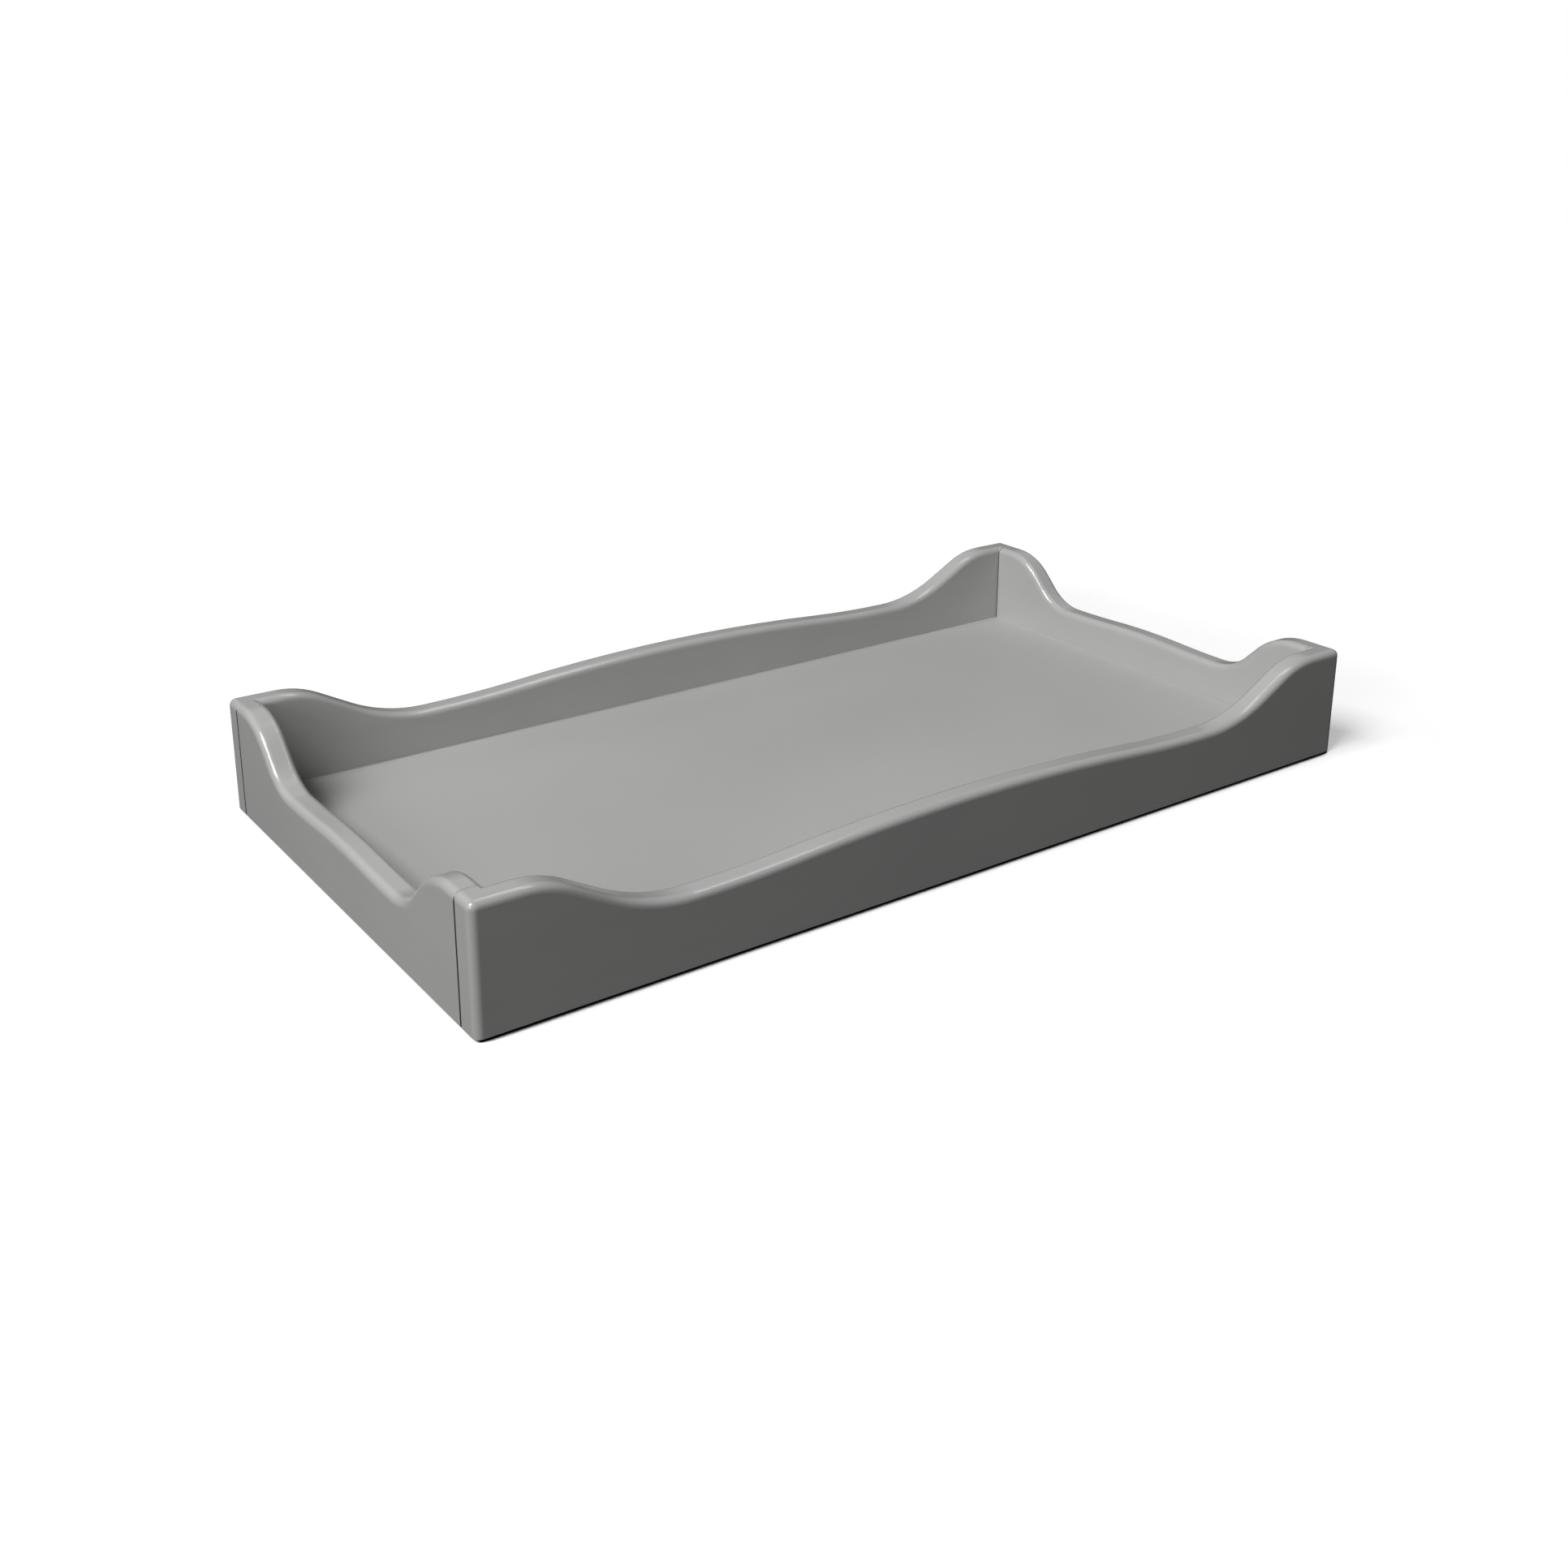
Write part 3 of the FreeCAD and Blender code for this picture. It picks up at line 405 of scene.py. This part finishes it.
painted = floor_paint.blend(floor_paint.step(mist, 0.32, 0.68), PAINT_DEEP, PAINT_GREY)
birch = floor_paint.blend(floor_paint.step(veneer, 0.45, 0.75), BIRCH_PALE, BIRCH_STREAK)
# A little darker along the foot of the walls, over the last two millimetres of the top.
at_end, at_side = [
    floor_paint.step(floor_paint.absolute(place), wall - WALL_FOOT_WIDTH, wall - WALL_FOOT_CORE)
    for place, wall in ((x, INNER_HALF_LENGTH), (y, INNER_HALF_WIDTH))]
at_wall_foot = floor_paint.math("MAXIMUM", at_end, at_side) * sprayed
colour = floor_paint.blend(at_wall_foot, floor_paint.blend(sprayed, birch, painted), WALL_FOOT_GREY)
bare_gloss = BARE_ROUGH + veneer * VENEER_DULLS
paint_gloss = FLOOR_ROUGH + mist * MIST_DULLS + peel * PEEL_DULLS
skin = relief(floor_paint, peel * sprayed, PEEL_DEPTH)
floor_paint.surface(Base_Color=colour, IOR=1.5,
                    Roughness=(1 - sprayed) * bare_gloss + sprayed * paint_gloss,
                    Normal=relief(floor_paint, veneer, VENEER_DEPTH, skin))
floor_paint.dress(FLOOR)

# %% [markdown]
# ## The bead of paint in the corner of the floor
#
# Where the floor meets the boards there is never a knife-sharp corner: filler
# and wet paint gather there in a small bead about a millimetre wide.  It could
# be faked with a bevel in the shader, but a real strip also closes the hairline
# over the groove.  A flat face as big as the inside of the tray is inset, its
# middle is thrown away, and the ring that is left is tipped up at the wall.
# Bending the ring through two cuts makes it hollow, and an extrusion into the
# crack behind it closes the shape.

# %% Make the paint bead
BEAD = 1.0 * MM
BEAD_BITE = 0.05 * MM
BEAD_BACK = 0.6 * MM
BEAD_HOLLOW = 0.168 * BEAD

outline = Vector((INNER_HALF_LENGTH + BEAD_BITE, INNER_HALF_WIDTH + BEAD_BITE, 1.0))
bead = bmesh.new()
bmesh.ops.create_grid(bead, x_segments=1, y_segments=1, size=1.0)
bmesh.ops.scale(bead, vec=outline, verts=bead.verts)
bmesh.ops.translate(bead, vec=(0.0, 0.0, PANEL_TOP), verts=bead.verts)
ring = bmesh.ops.inset_region(bead, faces=bead.faces[:], thickness=BEAD,
                              use_even_offset=True, use_boundary=True)["faces"]
middle = [face for face in bead.faces if face not in ring]
bmesh.ops.delete(bead, geom=middle, context="FACES_ONLY")
at_wall = [vertex for vertex in bead.verts if abs(vertex.co.x) > outline.x - BEAD / 2]
bmesh.ops.translate(bead, vec=(0.0, 0.0, BEAD), verts=at_wall)

spokes = [edge for edge in bead.edges
          if abs(edge.verts[0].co.z - edge.verts[1].co.z) > BEAD / 2]
cuts = bmesh.ops.subdivide_edges(bead, edges=spokes, cuts=2, use_grid_fill=True)
for spot in cuts["geom_inner"]:
    if isinstance(spot, bmesh.types.BMVert):
        into_corner = Vector((math.copysign(1, spot.co.x), math.copysign(1, spot.co.y), -1.0))
        bmesh.ops.translate(bead, vec=into_corner * BEAD_HOLLOW, verts=[spot])

grown = bmesh.ops.extrude_face_region(bead, geom=bead.faces[:])["geom"]
hidden = [item for item in grown if isinstance(item, bmesh.types.BMVert)]
bmesh.ops.translate(bead, vec=(0.0, 0.0, -BEAD_BACK), verts=hidden)
bmesh.ops.recalc_face_normals(bead, faces=bead.faces)
for face in bead.faces:
    face.smooth = True
open_edges = [edge for edge in bead.edges if len(edge.link_faces) != 2]
print("bead faces", len(bead.faces), "open edges", len(open_edges),
      "volume", round(bead.calc_volume() / MM ** 3), "mm3")

bead_mesh = bpy.data.meshes.new("paint_bead")
bead.to_mesh(bead_mesh)
bead.free()
bead_mesh.materials.append(floor_paint.material)
paint_bead = bpy.data.objects.new("paint_bead", bead_mesh)
bpy.context.scene.collection.objects.link(paint_bead)
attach(paint_bead, "root")

# %% [markdown]
# ## Bare pine
#
# The battens and corner blocks are planed pine.  A pine board cut from a log
# shows its growth rings as long wavy bands, pale in spring and orange-brown in
# summer.  Rings are cylinders round the log's middle, so a Wave texture in its
# ring mode, stretched along the board and bent by noise, gives bands on the
# faces and arcs on the sawn ends from one pattern.

# %% Finish for battens and blocks
PINE_SPRING = (0.66, 0.47, 0.27, 1.0)
PINE_SUMMER = (0.44, 0.25, 0.11, 1.0)
LOG_MIDDLE = (0.031, 0.044, 0.0)
RINGS = {"Scale": 46.0, "Distortion": 2.6, "Detail": 3.0, "Detail Scale": 0.9}
BAND_SHARE, FIBRE_SHARE = 0.75, 0.2
PINE_ROUGH, BAND_SHINES, FIBRE_DULLS = 0.68, 0.12, 0.06
RING_DEPTH, FIBRE_DEPTH = 0.04 * MM, 0.03 * MM
QUARTER = math.radians(90)


def bare_pine(name, stretch, log_turn):
    """Planed pine; the log's middle lies along local z after the turn."""
    pine = Finish(name)
    where = stretched(pine, stretch, log_turn, LOG_MIDDLE)
    rings = pine.node("ShaderNodeTexWave", {"wave_type": "RINGS", "rings_direction": "Z"},
                      {"Vector": where, **RINGS}, give="Fac")
    fibre = cloud(pine, stretched(pine, stretch, log_turn), scale=260.0, detail=3.0, rough=0.6)
    band = pine.step(rings, start=0.35, end=0.98)
    share = band * BAND_SHARE + fibre * FIBRE_SHARE
    skin = relief(pine, fibre, FIBRE_DEPTH, relief(pine, rings, RING_DEPTH))
    pine.surface(Base_Color=pine.blend(share, PINE_SPRING, PINE_SUMMER), IOR=1.45,
                 Roughness=PINE_ROUGH - band * BAND_SHINES + fibre * FIBRE_DULLS, Normal=skin)
    return pine


bare_pine("bare_pine_batten", (1.0, 1.0, 0.06), (QUARTER, 0.0, 0.0)).dress(BATTENS)
bare_pine("bare_pine_block", (1.0, 1.0, 0.08), (0.0, QUARTER, 0.0)).dress(BLOCKS)

# %% [markdown]
# ## Beech dowels
#
# The dowels are turned beech and sit glued inside the corners, so they only
# show when the model is taken apart.  Beech is pinkish and has short dark
# flecks instead of bold rings.  Fine noise stretched across the tray, which is
# how the dowels lie, gives both the fibre and the flecks.

# %% Finish for the dowels
BEECH = (0.60, 0.38, 0.23, 1.0)
BEECH_FLECK = (0.36, 0.19, 0.10, 1.0)
BEECH_GRAIN = (180.0, 34.0, 180.0)
BEECH_ROUGH, BEECH_FUZZ = 0.55, 0.12

beech = Finish("flecked_beech")
fleck = cloud(beech, stretched(beech, BEECH_GRAIN), scale=3.0, detail=3.0, rough=0.6)
fibre = cloud(beech, stretched(beech, BEECH_GRAIN), scale=9.0, detail=2.0, rough=0.5)
beech.surface(Base_Color=beech.blend(beech.step(fleck, 0.56, 0.70), BEECH, BEECH_FLECK),
              Roughness=BEECH_ROUGH + fibre * BEECH_FUZZ,
              Normal=relief(beech, fibre, FIBRE_DEPTH))
beech.dress(DOWELS)

# %% [markdown]
# ## Zinc-plated screws
#
# Screws are steel with a bright zinc plating.  The plating is a metal, so it
# has no colour of its own under a sheen: its base colour is its reflection, a
# cool light grey.  Handling and the tumbling drum leave patches of different
# gloss and tiny dents, which keep the metal from looking like a mirror.

# %% Finish for the screws
ZINC_BRIGHT = (0.62, 0.64, 0.67, 1.0)
ZINC_DULL = (0.43, 0.45, 0.48, 1.0)
ZINC_ROUGH, PATCH_DULLS = 0.26, 0.2
DENT_DEPTH = 0.02 * MM

zinc = Finish("bright_zinc")
patch = cloud(zinc, spot_on_part(zinc), scale=320.0, detail=3.0, rough=0.6)
dents = cloud(zinc, spot_on_part(zinc), scale=1400.0, detail=2.0, rough=0.5)
zinc.surface(Base_Color=zinc.blend(zinc.step(patch, 0.35, 0.65), ZINC_DULL, ZINC_BRIGHT),
             Roughness=ZINC_ROUGH + patch * PATCH_DULLS,
             Normal=relief(zinc, dents, DENT_DEPTH), Metallic=1.0)
zinc.dress(SCREWS)

# %% [markdown]
# ## Rubber feet
#
# The feet are thin self-adhesive rubber discs.  Moulded rubber is dark, nearly
# without gloss, and carries the fine matt texture of its mould, with a little
# pale dust that gathers on it in use.

# %% Finish for the feet
RUBBER = (0.028, 0.028, 0.030, 1.0)
RUBBER_DUSTY = (0.085, 0.083, 0.080, 1.0)
RUBBER_ROUGH, DUST_DULLS = 0.78, 0.15
MOULD_DEPTH = 0.03 * MM

rubber = Finish("dusty_rubber")
mould = cloud(rubber, spot_on_part(rubber), scale=2200.0, detail=2.0, rough=0.6)
dust = cloud(rubber, spot_on_part(rubber), scale=260.0, detail=4.0, rough=0.6)
rubber.surface(Base_Color=rubber.blend(rubber.step(dust, 0.45, 0.75), RUBBER, RUBBER_DUSTY),
               Roughness=RUBBER_ROUGH + dust * DUST_DULLS,
               Normal=relief(rubber, mould, MOULD_DEPTH))
rubber.dress(FEET)

# %% [markdown]
# ## The camera
#
# The tray is seen from its front left corner and a little from above.  A
# camera looks along its own -Z axis, so its turn is built from three unit
# vectors: one back towards the camera, one to the right and one up.  A slight
# roll tips them together.  A small downward shift of the lens places the tray
# in the frame without tilting the camera, so upright lines stay as they are.

# %% Place the camera
AZIMUTH, ELEVATION, ROLL = (math.radians(angle) for angle in (-35.7159, 17.5177, 0.2338))
CAMERA_SPOT = Vector((-0.8907, -1.2007, 0.6387))
PICTURE_WIDTH = 1932
FOCAL_LENGTH_IN_WIDTHS = 2128.7957 / PICTURE_WIDTH
AIM_ROW, MIDDLE_ROW = 750, 966
SENSOR = 36.0

back = Vector((math.sin(AZIMUTH) * math.cos(ELEVATION),
               -math.cos(AZIMUTH) * math.cos(ELEVATION), math.sin(ELEVATION)))
right = (-back).cross(Vector((0, 0, 1))).normalized()
up = right.cross(-back)
tilted_right = math.cos(ROLL) * right + math.sin(ROLL) * up
tilted_up = math.cos(ROLL) * up - math.sin(ROLL) * right

camera = bpy.data.objects.new("camera", bpy.data.cameras.new("camera"))
camera.matrix_world = Matrix((tilted_right, tilted_up, back)).transposed().to_4x4()
camera.location = CAMERA_SPOT
camera.data.sensor_width = SENSOR
camera.data.lens = FOCAL_LENGTH_IN_WIDTHS * SENSOR
camera.data.shift_y = (AIM_ROW - MIDDLE_ROW) / PICTURE_WIDTH
camera.data.dof.use_dof = False
bpy.context.scene.collection.objects.link(camera)
bpy.context.scene.camera = camera
print("lens", round(camera.data.lens, 2), "mm, shift", round(camera.data.shift_y, 4))

# %% [markdown]
# ## Light for a white studio
#
# A product like this is lit with one large soft lamp from the left, high up.
# It makes the floor of the tray lightest, the left end middling and the long
# front dark.  A weak low lamp from the same side opens up the left end and the
# inside of the right end, and a low one at the back does the same for the back
# board, without showing in the gloss.  A long strip overhead is only for the
# gloss: it adds no light to the flat faces but draws a bright line along the
# rounded edges.  A lamp is easiest to place by the direction it shines from and
# its distance, so that is what the helper takes.

# %% Lamps
def soft_lamp(name, shines_from, distance, width, height, watts):
    lamp = bpy.data.objects.new(name, bpy.data.lights.new(name, "AREA"))
    lamp.data.shape = "RECTANGLE"
    lamp.data.size = width
    lamp.data.size_y = height
    lamp.data.energy = watts
    direction = Vector(shines_from).normalized()
    lamp.location = direction * distance
    lamp.rotation_euler = direction.to_track_quat("Z", "Y").to_euler()
    bpy.context.scene.collection.objects.link(lamp)
    print(name, "at", [round(value, 2) for value in lamp.location])
    return lamp


soft_lamp("key_lamp", shines_from=(-0.60, -0.09, 0.78), distance=8.0,
          width=3.6, height=3.6, watts=520.0)
soft_lamp("low_lamp", shines_from=(-0.86, -0.37, 0.36), distance=5.0,
          width=2.0, height=1.4, watts=51.0)
back_lamp = soft_lamp("back_lamp", shines_from=(0.50, 0.86, 0.11), distance=5.0,
                      width=2.4, height=0.9, watts=74.0)
back_lamp.visible_glossy = False
rim_lamp = soft_lamp("rim_lamp", shines_from=(0.30, 0.05, 0.95), distance=2.6,
                     width=2.2, height=0.40, watts=10.0)
rim_lamp.visible_diffuse = False

# %% [markdown]
# ## The room's own light
#
# The camera must see a white room, but a white room would light the tray
# evenly and flatten it.  The Light Path node tells camera rays from all other
# rays, so the camera sees white while the tray only gets a dim fill.  The
# gloss gets its own sky: dark up to a low height, then bright, so that the
# flat tops stay calm and the rounded edges shine.  The scene also asks for the
# plain view transform, so that white stays white.

# %% White room, dim fill
ROOM_FILL = 0.051
ROOM_SHEEN = 0.62
SHEEN_LOW, SHEEN_HIGH = 0.23, 0.55
BLACK, WHITE = (0.0, 0.0, 0.0, 1.0), (1.0, 1.0, 1.0, 1.0)

scene = bpy.context.scene
scene.view_settings.view_transform = "Standard"
scene.world = bpy.data.worlds.new("white_room")
scene.world.use_nodes = True
room = Network(scene.world.node_tree)
sky = room.tree.nodes["Background"]

toward = room.node("ShaderNodeTexCoord", give="Generated")
camera_ray = room.node("ShaderNodeLightPath", give="Is Camera Ray")
glossy_ray = room.node("ShaderNodeLightPath", give="Is Glossy Ray")
above = room.step(axes_of(room, toward)[2], SHEEN_LOW, SHEEN_HIGH)
fill = above * glossy_ray * ROOM_SHEEN + ROOM_FILL
room.feed(sky.inputs["Color"], WHITE)
room.feed(sky.inputs["Strength"], room.math("MAXIMUM", fill, camera_ray))
print("room fill", ROOM_FILL, "and", len(room.tree.nodes), "nodes")

# %% [markdown]
# ## The table top it stands on
#
# Under the tray lies plain white paper.  It glows by itself, weakly close to the
# tray and fully further out, so it melts into the white room; the glow is painted
# light.  Close under the boards the shade is painted, and only the soft shadow on
# the side away from the lamp is cast by the lamp.  The Ambient Occlusion node
# measures how much of its surroundings a spot sees, so it finds the thin gap that
# the feet leave under the boards and paints it black: a painted shadow.  The lamp
# would shine into that gap at the left end, so there a mask by place paints the
# paper light: painted light.

# %% White paper
PAPER_HALF = 6.0
# The first colour below is a painted shadow for the gap under the boards.
PAPER_GAP_SHADOW = (0.01, 0.01, 0.01, 1.0)
PAPER_LIT = (0.90, 0.884, 0.89, 1.0)
PAPER_GLOW = 1.1
NEAR_GLOW = 0.355
NEAR, FAR = 0.62, 1.3
GAP_REACH = 14 * MM
GAP_BLACK, GAP_CLEAR = 0.53, 0.66
PAINTED_LIGHT_GAP = 4.5 * MM

paper_mesh = bpy.data.meshes.new("paper")
shape = bmesh.new()
bmesh.ops.create_grid(shape, x_segments=1, y_segments=1, size=PAPER_HALF)
shape.to_mesh(paper_mesh)
shape.free()
paper = bpy.data.objects.new("paper", paper_mesh)
scene.collection.objects.link(paper)

white = Finish("white_paper")
place = spot_on_part(white)
seen_share = white.node("ShaderNodeAmbientOcclusion", {"samples": 16},
                        {"Distance": GAP_REACH}, give="AO")
# Painted light: a strip at the left end stays light in the gap.
painted_light_end = white.step(axes_of(white, place)[0], PAINTED_LIGHT_GAP - HALF_LENGTH, -HALF_LENGTH)
# Where a spot sees little, the paper is painted black: a painted shadow.
gap = white.math("MAXIMUM", white.step(seen_share, GAP_BLACK, GAP_CLEAR), painted_light_end)
reach = white.node("ShaderNodeVectorMath", {"operation": "LENGTH"}, {0: place}, give="Value")
# The glow is painted light: weak near the tray, full further out, none in the gap.
glow = gap * (NEAR_GLOW + white.step(reach, NEAR, FAR) * (1 - NEAR_GLOW))
white.surface(Emission_Color=white.blend(glow, BLACK, WHITE), Emission_Strength=PAPER_GLOW,
              Base_Color=white.blend(gap, PAPER_GAP_SHADOW, PAPER_LIT),
              Roughness=0.9, Specular_IOR_Level=0.0)
paper_mesh.materials.append(white.material)
paper.visible_diffuse = False
paper.visible_glossy = False
paper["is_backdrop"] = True
print("paper", 2 * PAPER_HALF, "m wide")

# %% [markdown]
# ## The two sizes
#
# The painted tray must be exactly as big as the CAD model.  Both boxes are
# measured, and their largest difference is printed.

# %% Measure both boxes and print the difference
visual_box = [list(corner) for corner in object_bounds()]
print("largest difference in mm:",
      round(max(abs(a - b) for low, high in zip(cad_box, visual_box)
                for a, b in zip(low, high)) / MM, 3))
